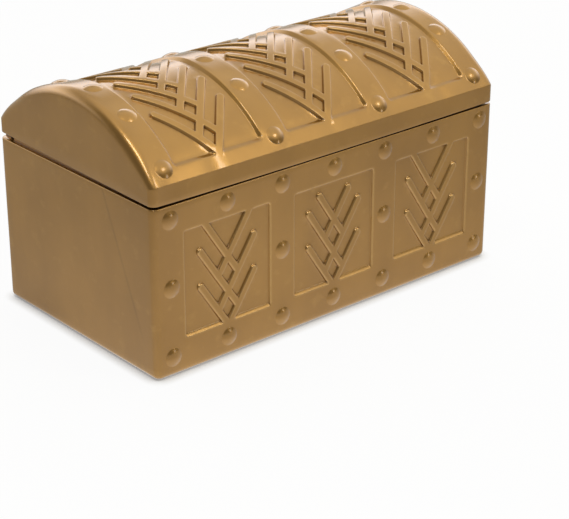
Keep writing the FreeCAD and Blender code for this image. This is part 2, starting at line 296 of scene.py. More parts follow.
class StudioLook(bpy.types.PropertyGroup):
    """Floor, lamps, surroundings and camera."""

    floor_colour: tint("Floor", "Colour of the floor", 0.9, 0.9, 0.9)
    floor_bounce: tint("Floor bounce", "Colour of the floor as the chest sees it", 0.55, 0.54, 0.52)
    floor_glow: share("Floor glow", "White that the camera sees on the floor", 0.93)
    floor_shine: share("Floor shine", "White that the gloss shows of the floor nearby", 0.45)
    floor_shade: share("Foot shade", "Depth of the narrow shadow along the chest's foot", 0.75)
    floor_steep: share("Floor from above", "White added where the gloss looks down on it", 0.62)
    glint_power: amount("Glint lamp", "Power of the small low lamp in front in watts", 0.5)
    key_power: amount("Key lamp", "Power of the compact front lamp in watts", 2.4)
    strip_power: amount("Strip lamp", "Power of the strip lamp over the left end in watts", 3.1)
    room: amount("Room", "Brightness of the dim room in front", 0.18)
    left: amount("Left", "Brightness of the room's left side", 0.26)
    above: amount("Above the backdrop", "Brightness between backdrop and ceiling", 0.55)
    ceiling: amount("Ceiling", "Brightness overhead", 1.0)
    backdrop: amount("Backdrop", "Brightness behind the chest", 2.5)
    lens: bpy.props.FloatProperty(name="Lens", description="Focal length of the camera",
                                  default=114.384, subtype="DISTANCE_CAMERA")
    camera_place: place("Camera place", "Where the camera stands", -443.4, -534.55, 325.88)
    camera_turn: bpy.props.FloatVectorProperty(
        name="Camera turn", description="How the camera is turned", size=3, subtype="EULER",
        default=[math.radians(a) for a in (65.3322, -0.0401, -40.7451)])


FORMS = {"chest_form": ChestForm, "chest_relief": ReliefForm, "chest_hinge": HingeForm}
LOOKS = {"chest_gold": GoldLook, "chest_studio": StudioLook}


def chest_plan():
    """All sizes of the chest in millimetres, with those that follow from them."""
    plan = SimpleNamespace()
    for attribute in FORMS:
        group = getattr(bpy.context.scene, attribute)
        for name in group.__annotations__:
            is_length = group.bl_rna.properties[name].unit == "LENGTH"
            value = getattr(group, name)
            setattr(plan, name, value / MM if is_length else value)
    plan.half_length = plan.length / 2
    plan.half_depth = plan.depth / 2
    plan.crest = plan.rim_height + plan.front_seam + plan.lip_height + plan.barrel_rise
    plan.barrel = (plan.barrel_rise ** 2 + plan.half_depth ** 2) / (2 * plan.barrel_rise)
    plan.barrel_axis = plan.crest - plan.barrel
    plan.crease_angle = math.asin((plan.half_depth - plan.crease_radius)
                                  / (plan.barrel - plan.crease_radius))
    plan.column_pitch = (plan.length - 2 * plan.rivet_edge) / (plan.rivet_columns - 1)
    plan.panel_middles = [2 * plan.column_pitch * column for column in (-1, 0, 1)]
    plan.panel_half = plan.column_pitch - plan.strap_width / 2
    return plan


def smooth(value):
    """Eases from 0 to 1."""
    value = np.clip(value, 0, 1)
    return value * value * (3 - 2 * value)


def stations(low, high, step):
    """Evenly spaced places from low to high, about one step apart."""
    return np.linspace(low, high, max(2, round((high - low) / step) + 1))


class Skin:
    """Points and faces in millimetres that are welded into one closed mesh."""

    def __init__(self):
        self.points, self.faces, self.total = [], [], 0

    def add(self, points, faces):
        """Points with the faces between them."""
        points = np.asarray(points, float).reshape(-1, 3)
        self.points.append(points)
        self.faces += [[self.total + i for i in face] for face in faces]
        self.total += len(points)

    def sheet(self, grid, hole=None):
        """Quads between the points of a grid; hole gives the rows and columns left open."""
        rows, columns = grid.shape[:2]
        faces = []
        for row in range(rows - 1):
            for column in range(columns - 1):
                if hole and row in hole[0] and column in hole[1]:
                    continue
                first = row * columns + column
                faces.append((first, first + 1, first + columns + 1, first + columns))
        self.add(grid, faces)

    def loops(self, rings, hole=None):
        """Quads between closed rings."""
        grid = np.stack(rings)
        self.sheet(np.concatenate([grid, grid[:, :1]], axis=1), hole)

    def cap(self, ring):
        """One flat face inside a ring."""
        self.add(ring, [range(len(ring))])

    def stack(self, rings, hole=None):
        """Quads between closed rings, and a flat face inside the first and the last."""
        self.loops(rings, hole)
        self.cap(rings[0])
        self.cap(rings[-1])

    def mesh(self, name, ripple=None):
        """Welds and turns the faces outwards; ripple gives how far each point sinks."""
        mesh = bpy.data.meshes.new(name)
        mesh.from_pydata((np.concatenate(self.points) * MM).tolist(), [], self.faces)
        shell = bmesh.new()
        shell.from_mesh(mesh)
        bmesh.ops.remove_doubles(shell, verts=shell.verts, dist=WELD * MM)
        bmesh.ops.recalc_face_normals(shell, faces=shell.faces)
        if ripple:
            sunk = ripple(np.array([v.co for v in shell.verts]) / MM) * MM
            moves = [v.normal * depth for v, depth in zip(shell.verts, sunk)]
            for vertex, move in zip(shell.verts, moves):
                vertex.co -= move
        shell.to_mesh(mesh)
        shell.free()
        return mesh


def prism(profile, axis, low, high):
    """Closed bar of one section, along X (a YZ profile) or Y (an XZ profile)."""
    skin = Skin()
    rings = []
    for place_along in (low, high):
        ring = np.insert(np.asarray(profile, float), axis, place_along, axis=1)
        rings.append(ring)
        skin.cap(ring)
    skin.loops(rings)
    return skin.mesh("bar")


def rectangle(low, high, bottom, top, radius=0.0):
    """Upright section whose upper corners are rounded."""
    if not radius:
        return [(low, bottom), (high, bottom), (high, top), (low, top)]
    turn = np.linspace(0, QUARTER, ROUND_STEPS + 1)
    out, up = radius * np.cos(turn) - radius, radius * np.sin(turn) - radius
    right = np.stack([high + out, top + up], 1)
    left = np.stack([low - up, top + out], 1)
    return np.concatenate([[(low, bottom), (high, bottom)], right, left])


def circle(middle, radius, steps=32):
    """Points round a circle."""
    turn = (np.arange(steps) + 0.5) * 2 * math.pi / steps
    return np.asarray(middle) + radius * np.stack([np.cos(turn), np.sin(turn)], 1)


def perimeter(half_x, half_y, radius, xs, ys, steps):
    """Round-cornered loop in plan: xs along front and back, ys along the ends."""
    turn = np.linspace(0, QUARTER, steps + 1)[1:-1]

    def corner(side_x, side_y, start):
        middle = np.array([side_x * (half_x - radius), side_y * (half_y - radius)])
        return middle + radius * np.stack([np.cos(start + turn), np.sin(start + turn)], 1)

    def line(x, y):
        return np.stack(np.broadcast_arrays(x, y), 1)

    return np.concatenate([
        line(xs, -half_y), corner(1, -1, -QUARTER), line(half_x, ys), corner(1, 1, 0),
        line(xs[::-1], half_y), corner(-1, 1, QUARTER), line(-half_x, ys[::-1]),
        corner(-1, -1, 2 * QUARTER)])


def edge_loop(xs, ys):
    """Closed line round a rectangle, through the given places along its sides."""
    sides = ((xs[:-1], ys[0]), (xs[-1], ys[:-1]), (xs[:0:-1], ys[-1]), (xs[0], ys[:0:-1]))
    return np.concatenate([np.stack(np.broadcast_arrays(x, y), 1) for x, y in sides])


def span(side, start, end):
    """Ends of a stretch left (-1) or right (1) of the middle, the lower one first."""
    return sorted((side * start, side * end))


def at_height(ring, height):
    """A plan loop lifted to a height."""
    return np.column_stack([ring, np.broadcast_to(height, len(ring))])


def rings_of(half_x, half_y, radius, xs, ys, rows):
    """Round-cornered rings; rows give the inset and the height of each."""
    return [at_height(perimeter(half_x - inset, half_y - inset, radius - inset, xs, ys,
                                CORNER_STEPS), height) for inset, height in rows]


def inner_block(name, half_x, half_y, radius, rows):
    """Closed, coarse block that hollows out a piece."""
    skin = Skin()
    xs, ys = (stations(radius - half, half - radius, INSIDE_STEP) for half in (half_x, half_y))
    skin.stack(rings_of(half_x, half_y, radius, xs, ys, rows))
    return skin.mesh(name)


class SunkenPanel:
    """A sunken panel in which crossed ribs are left standing."""

    LEAST_CORNER = 0.05
    CORNER_STEPS, RIB_END_STEPS = 5, 10

    def __init__(self, middle, half, corner, rib_width):
        self.middle, self.half = np.array(middle, float), np.array(half, float)
        self.corner, self.rib_width, self.ribs = corner, rib_width, []

    def add_chevron(self, crossing, span, overrun, slope):
        """Two ribs that cross on the panel's middle line and point down."""
        x = self.middle[0]
        for side in (-1, 1):
            tip = np.array([x + side * span, crossing + slope * span])
            root = np.array([x - side * overrun, crossing - slope * overrun])
            self.ribs.append((tip, root))

    def border_gap(self, points):
        """How far each point lies within the panel's border."""
        reach = np.abs(points - self.middle) - (self.half - self.corner)
        outside = np.linalg.norm(np.maximum(reach, 0), axis=1)
        return self.corner - outside - np.minimum(reach.max(axis=1), 0)

    def rib_gap(self, points):
        """How far each point lies from the nearest rib's side; negative on a rib."""
        gaps = []
        for tip, root in self.ribs:
            along = root - tip
            part = np.clip((points - tip) @ along / (along @ along), 0, 1)
            gaps.append(np.linalg.norm(points - tip - part[:, None] * along, axis=1))
        return np.min(gaps, axis=0) - self.rib_width / 2

    def border_line(self, level, step):
        """Closed line at one distance within the panel's border."""
        half = self.half - level
        radius = max(self.corner - level, self.LEAST_CORNER)
        xs = stations(-half[0] + radius, half[0] - radius, step)
        ys = stations(-half[1] + radius, half[1] - radius, step)
        return self.middle + perimeter(half[0], half[1], radius, xs, ys, self.CORNER_STEPS)

    def rib_lines(self, level, step):
        """Closed lines round the ribs at one distance from their sides."""
        for tip, root in self.ribs:
            run = root - tip
            length = np.linalg.norm(run)
            along = run / length
            side = np.array([-along[1], along[0]])
            width = self.rib_width / 2 + level
            places = stations(0, length, step)[:, None] * along
            turn = np.linspace(0, math.pi, self.RIB_END_STEPS + 1)[1:-1, None]
            yield np.concatenate([
                tip + places - width * side,
                root + width * (np.sin(turn) * along - np.cos(turn) * side),
                tip + places[::-1] + width * side,
                tip - width * (np.sin(turn) * along - np.cos(turn) * side)])


class Wall:
    """Profile from a strap or rib down to a panel's floor: rounded edge, slope, hollow corner."""

    EDGE_PLACES, ROOT_PLACES = np.array([0, 0.35, 0.65, 1]), np.array([0, 0.4, 1])

    def __init__(self, sink, edge, root, slope):
        self.sink, self.edge, self.root, self.slope = sink, edge, root, slope
        self.half = (sink - (edge + root) * (1 - math.cos(slope))) / math.tan(slope) / 2
        self.start = -self.half - edge * math.sin(slope)
        self.end = self.half + root * math.sin(slope)
        self.levels = np.concatenate([
            self.start + edge * self.EDGE_PLACES * math.sin(slope),
            self.half + root * self.ROOT_PLACES * math.sin(slope)])

    def depth(self, gap):
        """Depth at each distance within the wall's foot line."""
        over = np.clip(gap - self.start, 0, self.edge)
        edge = self.edge - np.sqrt(self.edge ** 2 - over ** 2)
        left = np.clip(self.end - gap, 0, self.root)
        root = self.sink - self.root + np.sqrt(self.root ** 2 - left ** 2)
        fall = self.edge * (1 - math.cos(self.slope))
        slope = fall + (gap + self.half) * math.tan(self.slope)
        return np.where(gap < -self.half, edge, np.where(gap < self.half, slope, root))


class Relief:
    """Sunken panels and rivets over one face of the chest."""

    LINE_STEP, SCATTER_STEP = 0.7, 2.0
    TOUCH, WALL_ROOM, RIVET_ROOM, BORDER_ROOM = 0.02, 0.4, 0.5, 0.1
    FOOT_RINGS, DOME_RINGS = 4, np.array([0.9, 0.75, 0.57, 0.38, 0.19])
    WIDE_RING, RING_STEPS, SMALL_RING_STEPS = 2, 36, 18

    def __init__(self, plan, panels, rivets, border, rib, to_surface=None, ledge=None):
        self.panels, self.rivets = panels, np.array(rivets)
        self.border, self.rib = border, rib
        self.ledge = None if ledge is None else ledge - border.half
        self.to_surface = to_surface or (lambda points: points)
        self.dome = plan.rivet_height
        self.ball = ((plan.rivet_diameter / 2) ** 2 + self.dome ** 2) / (2 * self.dome)
        self.foot = plan.rivet_fillet
        self.centre = self.dome - self.ball
        self.foot_reach = math.sqrt((self.ball + self.foot) ** 2 - (self.foot - self.centre) ** 2)
        self.dome_reach = self.foot_reach * self.ball / (self.ball + self.foot)

    def gaps(self, points):
        """How far each point lies within its panel's border and beside the nearest rib."""
        return (np.max([panel.border_gap(points) for panel in self.panels], axis=0),
                np.min([panel.rib_gap(points) for panel in self.panels], axis=0))

    def rivet_gap(self, points):
        """Distance along the surface to the middle of the nearest rivet."""
        flat = self.to_surface(points)
        return np.min([np.linalg.norm(flat - rivet, axis=1) for rivet in self.rivets], axis=0)

    def depth(self, points):
        """Depth below the straps."""
        within, beside = self.gaps(points)
        depth = np.minimum(self.border.depth(within), self.rib.depth(beside))
        if self.ledge is not None:
            depth = np.minimum(depth, np.maximum(points[:, 1] - self.ledge, 0))
        return depth

    def lines(self):
        """Closed lines along the walls, each with the part of it that shows."""
        for panel in self.panels:
            levels = list(self.border.levels)
            if self.ledge is not None:
                levels.append(self.border.sink - self.border.half)
            for level in levels:
                line = panel.border_line(level, self.LINE_STEP)
                within, beside = self.gaps(line)
                yield line, (beside > self.rib.start) & (
                    self.border.depth(within) < self.rib.depth(beside) + self.TOUCH)
            for level in self.rib.levels:
                for line in panel.rib_lines(level, self.LINE_STEP):
                    within, beside = self.gaps(line)
                    shows = (np.abs(beside - level) < self.TOUCH) & (
                        within > self.border.start) & (
                        self.rib.depth(beside) < self.border.depth(within) + self.TOUCH)
                    yield line, shows | np.roll(shows, -1)

    def height(self, points):
        """Height of the relief over the straps."""
        gap = self.rivet_gap(points)
        dome = self.centre + np.sqrt(np.maximum(self.ball ** 2 - gap ** 2, 0))
        reach = np.clip(self.foot_reach - gap, 0, self.foot)
        foot = self.foot - np.sqrt(self.foot ** 2 - reach ** 2)
        return np.where(gap < self.dome_reach, dome, foot) - self.depth(points)

    def patch(self, border, to_plan=None):
        """Points in plan and the triangles between them, with edges along every step."""
        to_plan = to_plan or (lambda points: points)
        points, edges, total = [], [], 0

        def add(line, keep):
            """Adds the edges of a closed line whose first end is kept, with their points."""
            nonlocal total
            used = keep | np.roll(keep, 1)
            number = np.cumsum(used) - 1 + total
            pairs = np.stack([number, np.roll(number, -1)], 1)[keep]
            edges.extend(map(tuple, pairs.tolist()))
            points.append(line[used])
            total += int(used.sum())

        add(border, np.full(len(border), True))
        for line, shows in self.lines():
            add(line, shows)
        rings = np.concatenate([
            np.linspace(self.foot_reach, self.dome_reach, self.FOOT_RINGS),
            self.dome_reach * self.DOME_RINGS])
        low, high = border.min(axis=0), border.max(axis=0)
        for rivet in self.rivets:
            for reach in rings:
                steps = self.RING_STEPS if reach > self.WIDE_RING else self.SMALL_RING_STEPS
                line = to_plan(circle(rivet, reach, steps))
                room = (high - low) / 2 - self.BORDER_ROOM
                within = (np.abs(line - (low + high) / 2) < room).all(axis=1)
                add(line, within & np.roll(within, -1))
            points.append(to_plan(rivet[None]))
            total += 1
        xs, ys = (stations(low[axis], high[axis], self.SCATTER_STEP)[1:-1] for axis in (0, 1))
        spread = np.stack(np.meshgrid(xs, ys), -1).reshape(-1, 2)
        within, beside = self.gaps(spread)
        room = self.WALL_ROOM
        flat = (within < self.border.start - room) | (beside < self.rib.start - room) | (
            (within > self.border.end + room) & (beside > self.rib.end + room))
        points.append(spread[flat & (self.rivet_gap(spread) > self.foot_reach + self.RIVET_ROOM)])
        joined = np.concatenate(points)
        made = delaunay_2d_cdt([Vector(p) for p in joined.tolist()], edges, [], 0, 1e-5, False)
        return np.array([tuple(v) for v in made[0]]), made[2]


def front_relief(plan):
    """Relief of the tub's front, in X and Z."""
    bottom, top = plan.front_bottom, plan.rim_height - plan.front_drop
    overrun = plan.front_rib_pitch / (2 * plan.front_rib_slope) - plan.rib_root_inset
    panels = []
    for middle in plan.panel_middles:
        panel = SunkenPanel((middle, (bottom + top) / 2), (plan.panel_half, (top - bottom) / 2),
                            plan.panel_corner, plan.front_rib_width)
        for row in range(plan.front_rib_count):
            span = plan.front_rib_span
            if row == plan.front_rib_count - 1:
                span = plan.top_span_outer if middle else plan.top_span_middle
            crossing = bottom - plan.front_rib_sink + row * plan.front_rib_pitch
            panel.add_chevron(crossing, span, overrun, plan.front_rib_slope)
        panels.append(panel)
    rows = ((plan.rim_height - plan.rivet_top_drop, 1), (plan.rivet_middle, 2),
            (plan.rivet_bottom, 1))
    rivets = [((column - plan.rivet_columns // 2) * plan.column_pitch, height)
              for height, step in rows for column in range(0, plan.rivet_columns, step)]
    wall = Wall(plan.front_sink, plan.front_edge, plan.root_radius, plan.front_slope)
    return Relief(plan, panels, rivets, wall, wall, ledge=bottom)


def lid_relief(plan):
    """Relief of the barrel, in X and Y as seen from above."""
    panel_end = plan.barrel * math.sin(plan.crease_angle - plan.lid_panel_edge / plan.barrel)
    overrun = plan.lid_rib_pitch / (2 * plan.lid_rib_slope) - plan.rib_root_inset
    panels = []
    for middle in plan.panel_middles:
        panel = SunkenPanel((middle, 0), (plan.panel_half, panel_end), plan.panel_corner,
                            plan.lid_rib_width)
        rows = int((plan.depth - plan.lid_rib_inset) / plan.lid_rib_pitch) + 1
        for row in range(rows):
            crossing = plan.lid_rib_inset - plan.half_depth + row * plan.lid_rib_pitch
            panel.add_chevron(crossing, plan.lid_rib_span, overrun, plan.lid_rib_slope)
        panels.append(panel)
    reach = plan.crease_angle * plan.barrel - plan.lid_rivet_edge - plan.lid_rivet_lead
    rows = [step - plan.lid_rivet_lead
            for step in (-reach, -plan.lid_rivet_pitch, 0, plan.lid_rivet_pitch, reach)]
    columns = (plan.column_pitch, plan.half_length - plan.lid_strap_edge)
    rivets = [(side * column, row) for column in columns for side in (-1, 1) for row in rows]

    def to_surface(points):
        along = plan.barrel * np.arcsin(np.clip(points[:, 1] / plan.barrel, -1, 1))
        return np.column_stack([points[:, 0], along])

    border = Wall(plan.lid_sink, plan.border_edge, plan.root_radius, plan.border_slope)
    rib = Wall(plan.lid_sink, plan.lid_edge, plan.root_radius, plan.lid_slope)
    return Relief(plan, panels, rivets, border, rib, to_surface)


def ripple_of(plan, extra=None):
    """How far a moulded wall sinks at each point: long, shallow waves."""
    wave_height = 1 + 0.6 + 0.5

    def depth(points):
        x, y, z = points.T
        waves = (np.sin(0.071 * x + 0.9) * np.sin(0.093 * z + 0.4)
                 + 0.6 * np.sin(0.13 * x - 0.11 * y + 2.1) + 0.5 * np.sin(0.17 * z + 0.08 * y))
        sunk = plan.ripple * (0.5 + waves / (2 * wave_height))
        return sunk + extra(points) if extra else sunk
    return depth


def tub_block(plan):
    """Closed block of the tub's outside with the relief on its front."""
    skin = Skin()
    corner, foot, rim = plan.corner_radius, plan.foot_radius, plan.edge_round
    xs = stations(corner - plan.half_length, plan.half_length - corner, WALL_STEP)
    ys = stations(corner - plan.half_depth, plan.half_depth - corner, END_STEP)
    zs = stations(foot, plan.rim_height - rim, WALL_STEP)
    turn = np.linspace(0, QUARTER, FOOT_STEPS + 1)
    foot_rows = [(foot * (1 - math.sin(a)), foot * (1 - math.cos(a))) for a in turn]
    rim_rows = [(rim * (1 - math.cos(a)), plan.rim_height - rim * (1 - math.sin(a)))
                for a in turn[::2]]
    rows = foot_rows + [(0, z) for z in zs[1:-1]] + rim_rows
    first = len(foot_rows) - 1
    skin.stack(rings_of(plan.half_length, plan.half_depth, corner, xs, ys, rows),
               hole=(range(first, first + len(zs) - 1), range(len(xs) - 1)))

    relief = front_relief(plan)
    points, faces = relief.patch(edge_loop(xs, zs))
    end_fade = 0.4
    lift = relief.height(points) * smooth((xs[-1] - np.abs(points[:, 0])) / end_fade)
    skin.add(np.column_stack([points[:, 0], -plan.half_depth - lift, points[:, 1]]), faces)
    return skin.mesh("tub", ripple_of(plan))


def tub_hollow(plan):
    """Closed block of the tub's inside."""
    fillet = plan.tub_floor_radius
    rows = [(fillet * (1 - math.sin(a)), plan.tub_floor + fillet * (1 - math.cos(a)))
            for a in np.linspace(0, QUARTER, FLOOR_STEPS + 1)]
    rows += [(0, plan.rim_height / 2), (0, plan.crest)]
    return inner_block("hollow", plan.half_length - plan.tub_wall,
                       plan.half_depth - plan.tub_wall, plan.tub_inner_radius, rows)


def tongue_strips(plan):
    """Strips on the rim that stand just inside the lid's skirt."""
    near = plan.skirt + plan.tongue_clearance
    far = plan.tub_wall + TONGUE_OVERLAP
    foot = plan.rim_height - TONGUE_ROOT
    low = plan.tongue_top - plan.tongue_relief
    front_end = plan.half_length - plan.tongue_corner_gap
    side_end = plan.half_depth - plan.tongue_corner_gap
    back_end = plan.half_length - plan.knuckle_inset - plan.knuckle_length - plan.tongue_hinge_gap

    def section(side, half, top):
        return rectangle(*span(side, half - near, half - far), foot, top, TONGUE_ROUND)

    return [prism(section(-1, plan.half_depth, plan.tongue_top), 0, -front_end, front_end),
            prism(section(1, plan.half_depth, low), 0, -back_end, back_end),
            prism(section(-1, plan.half_length, low), 1, -side_end, side_end),
            prism(section(1, plan.half_length, low), 1, -side_end, side_end)]


def hinge_bar(radius, side, start, end):
    """Round bar along the hinge line."""
    return prism(circle(hinge_place.yz, radius), 0, *span(side, start, end))


def knuckles(plan):
    """Round bars in the tub's back corners, in which the pins turn."""
    end = plan.half_length - plan.knuckle_inset
    radius = plan.setback - KNUCKLE_EASE
    return [hinge_bar(radius, side, end - plan.knuckle_length, end) for side in (-1, 1)]


def knuckle_cuts(plan):
    """Notches for the lid's ears, bores for the pins and the slots above them."""
    cuts = []
    start = plan.half_length - plan.knuckle_inset - plan.knuckle_length + plan.knuckle_wall
    end = plan.half_length - plan.knuckle_inset - plan.knuckle_wall
    ear = plan.half_length - plan.ear_inset
    room = plan.ear_width / 2 + plan.ear_side_gap
    y, z = hinge_place.yz
    notch = rectangle(y - 2 * plan.setback, plan.depth, z - plan.notch_depth, plan.crest)
    slot = rectangle(y - plan.entry / 2, y + plan.entry / 2, z, plan.crest)
    for side in (-1, 1):
        cuts += [prism(notch, 0, *span(side, ear - room, ear + room)),
                 hinge_bar(plan.bore, side, start, end),
                 prism(slot, 0, *span(side, start, end))]
    return cuts


def back_sag(plan, x, y):
    """How far the barrel sinks behind its crest, most between the stiff ends."""
    grows, back_margin, fades, at_ends, stiff = 26.0, 3.0, 9.0, 0.25, 20.0
    behind = smooth(y / grows) * smooth((plan.half_depth - back_margin - y) / fades)
    between = at_ends + (1 - at_ends) * smooth((plan.half_length - np.abs(x)) / stiff)
    return plan.back_sag * behind * between


def barrel_block(plan, half_x, half_y, radius, crease, end_round, edge_round, bottom, step,
                 relief=None, ripple=None, shoulder=0.0):
    """Closed barrel-topped block; bottom(x, y) is the height of its lower edge."""
    skin = Skin()
    lip = np.linspace(0, 1, LIP_STEPS + 1)
    arc = np.linspace(QUARTER, 0, CREASE_STEPS + 1)
    sweep = np.linspace(1, -1, round(2 * half_y / step) + 1)
    turn = np.linspace(0, QUARTER, LID_END_STEPS + 1)
    tightest, crease_fade = 0.3, 0.25
    reach = half_x - end_round - shoulder
    xs = stations(-reach, reach, step)

    def outline(inset, x, turned=None, side=1):
        half, tight = half_y - inset, max(crease - inset, tightest)
        outer, low = radius - inset, bottom(x, inset - half_y) + edge_round
        turn_height = plan.barrel_axis + math.sqrt((outer - tight) ** 2 - (half - tight) ** 2)
        limit = math.asin((half - tight) / (outer - tight))
        bend = limit + (QUARTER - limit) * arc / QUARTER
        front = np.concatenate([
            np.column_stack([np.full(len(lip), -half), low + (turn_height - low) * lip]),
            np.column_stack([tight - half - tight * np.sin(bend[1:]),
                             turn_height + tight * np.cos(bend[1:])])])
        top = limit * sweep[1:-1]
        across, along = np.full(len(top), outer), np.full(len(top), x)
        if turned is not None:
            more = shoulder * smooth((limit - np.abs(top)) / crease_fade)
            across = across - more * (1 - math.cos(turned))
            along = along - side * more * (1 - math.sin(turned))
        y = -across * np.sin(top)
        crown = np.column_stack([along, y, plan.barrel_axis + across * np.cos(top)
                                 - back_sag(plan, along, y)])
        front = np.insert(front, 0, x, axis=1)
        back = front[::-1] * (1, -1, 1)
        back_low = bottom(x, half) + edge_round
        back[-len(lip):, 2] = back_low + (turn_height - back_low) * lip[::-1]
        return np.concatenate([front, crown, back])

    sections = np.stack([outline(0, x) for x in xs])
    start = len(lip) + len(arc) - 2
    skin.sheet(sections[:, :start + 1])
    skin.sheet(sections[:, -start - 1:])
    crown = sections[:, start:sections.shape[1] - start]
    if relief:
        border = edge_loop(xs, crown[0, :, 1])
        points, faces = relief.patch(border, lambda flat: np.column_stack(
            [flat[:, 0], radius * np.sin(flat[:, 1] / radius)]))
        lift = radius + relief.height(points)
        angle = np.arcsin(points[:, 1] / radius)
        sag = back_sag(plan, points[:, 0], points[:, 1])
        skin.add(np.column_stack([points[:, 0], lift * np.sin(angle),
                                  plan.barrel_axis + lift * np.cos(angle) - sag]), faces)
    else:
        skin.sheet(crown)

    for side in (-1, 1):
        strips = np.stack([outline(end_round * (1 - math.cos(a)),
                                   side * (half_x - end_round * (1 - math.sin(a))), a, side)
                           for a in turn])
        skin.sheet(np.concatenate([sections[[0 if side < 0 else -1]], strips]) if shoulder
                   else strips)
        tops = strips[-1, len(lip) - 1:strips.shape[1] - len(lip) + 1]
        feet = tops.copy()
        feet[:, 2] = bottom(feet[:, 0], feet[:, 1]) + edge_round
        skin.sheet(np.stack([feet + (tops - feet) * t for t in lip]))
        ys = tops[:, 1]

    rings = []
    lip_xs = np.concatenate([[end_round - half_x], xs, [half_x - end_round]]) if shoulder else xs
    for a in np.linspace(0, QUARTER, LID_EDGE_STEPS + 1) if edge_round else (0,):
        inset, rise = edge_round * (1 - math.cos(a)), edge_round * (1 - math.sin(a))
        ring = perimeter(half_x - inset, half_y - inset, end_round - inset, lip_xs, ys,
                         LID_END_STEPS)
        rings.append(at_height(ring, bottom(ring[:, 0], ring[:, 1]) + rise))
    shrink = 0.9
    middle = rings[-1] * (shrink, shrink, 1)
    middle[:, 2] = bottom(np.full(len(middle), half_x), middle[:, 1])
    skin.loops(rings + [middle])
    skin.cap(middle)
    return skin.mesh("barrel", ripple)


def lid_block(plan):
    """Closed block of the lid's outside with the relief on its barrel."""
    front = plan.rim_height + plan.front_seam
    slope = (plan.back_seam - plan.front_seam) / plan.depth

    def bottom(x, y):
        """Height of the lid's lower edge, which sags in the middle of the front."""
        between = 1 - (x / plan.half_length) ** 2
        ahead = ((plan.half_depth - y) / plan.depth) ** 2
        return front + slope * (y + plan.half_depth) - plan.seam_bow * between * ahead

    def sinks(points):
        """Sinks where the chevrons' points meet the front band, and the lip's slight lean."""
        x, y, z = points.T
        band_start, lean_start, lean_top, end_margin = 42.0, 40.0, front + 17.0, 2.0
        edge_fade, rise_fade, long_fade = 3.0, 6.0, 8.0
        band = smooth((-y - band_start) / edge_fade) * smooth((z - front) / rise_fade)
        marks = sum(part * np.exp(-((x - middle) / SINK_MARK_WIDTH) ** 2)
                    for middle, part in SINK_MARKS)
        ends = smooth((plan.half_length - end_margin - np.abs(x)) / long_fade)
        lean = smooth((z - front) / plan.lip_height) * smooth((lean_top - z) / long_fade) \
            * smooth((-y - lean_start) / rise_fade) * ends
        return plan.sink_mark * band * marks + plan.lip_lean * lean

    return barrel_block(plan, plan.half_length, plan.half_depth, plan.barrel, plan.crease_radius,
                        plan.corner_radius, plan.edge_round, bottom, BARREL_STEP,
                        lid_relief(plan), ripple_of(plan, sinks), plan.shoulder)


def lid_cuts(plan):
    """The lid's inside and the rebate that drops over the tongue."""
    wall, skirt, round_in = plan.lid_wall, plan.skirt, plan.lid_inner_radius
    hollow = barrel_block(plan, plan.half_length - wall, plan.half_depth - wall,
                          plan.barrel - plan.lid_crown, round_in, round_in, 0.0,
                          lambda x, y: plan.rim_height - LID_HOLLOW_DROP, BARREL_INSIDE_STEP)
    rows = [(0, plan.rim_height - LID_REBATE_DROP), (0, plan.tongue_top)]
    return [hollow, inner_block("rebate", plan.half_length - skirt, plan.half_depth - skirt,
                                plan.corner_radius - skirt, rows)]


def lid_ears(plan):
    """Ears of the lid that reach down to the pins."""
    parts = []
    ear = plan.half_length - plan.ear_inset
    low, high = ear - plan.ear_width / 2, ear + plan.ear_width / 2
    y, z = hinge_place.yz
    root = rectangle(y - plan.setback, y + plan.setback - EAR_ROOT_EASE, z, plan.ear_top,
                     EAR_ROUND)
    for side in (-1, 1):
        parts += [prism(root, 0, *span(side, low, high)),
                  hinge_bar(plan.setback - EAR_EASE, side, low, high)]
    return parts


def ear_bores(plan):
    """Holes in the lid's ears, which hold the pins."""
    ear = plan.half_length - plan.ear_inset
    reach = plan.ear_width / 2 + EAR_BORE_PAST
    return [hinge_bar(plan.ear_bore, side, ear - reach, ear + reach) for side in (-1, 1)]


def add_object(name, data):
    """A new object in the scene."""
    made = bpy.data.objects.new(name, data)
    bpy.context.scene.collection.objects.link(made)
    return made


def dress(mesh, material):
    """Gives a mesh its one material."""
    mesh.materials.clear()
    mesh.materials.append(material)


def carve(mesh, steps):
    """Joins and cuts a block with tool blocks, one operation after the other."""
    for operation, tools in steps:
        body = add_object("block", mesh)
        kit = bpy.data.collections.new("tools")
        for tool in tools:
            kit.objects.link(bpy.data.objects.new("tool", tool))
        modifier = body.modifiers.new("carve", "BOOLEAN")
        modifier.operation, modifier.operand_type = operation, "COLLECTION"
        modifier.collection, modifier.solver = kit, "MANIFOLD"
        bpy.context.view_layer.update()
        graph = bpy.context.evaluated_depsgraph_get()
        mesh = bpy.data.meshes.new_from_object(body.evaluated_get(graph))
        for item in [body, *kit.objects]:
            old = item.data
            bpy.data.objects.remove(item)
            bpy.data.meshes.remove(old)
        bpy.data.collections.remove(kit)
    return mesh


def finish_piece(name, mesh, material, node, body):
    """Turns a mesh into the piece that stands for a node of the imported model."""
    shell = bmesh.new()
    shell.from_mesh(mesh)
    bmesh.ops.remove_doubles(shell, verts=shell.verts, dist=WELD * MM)
    for face in shell.faces:
        face.smooth = True
    for edge in shell.edges:
        edge.smooth = edge.is_manifold and edge.calc_face_angle() < SHARP_ANGLE
    shell.to_mesh(mesh)
    shell.free()
    mesh.name = name
    dress(mesh, material)
    piece = add_object(name, mesh)
    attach(piece, body)
    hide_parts(node)
    return piece


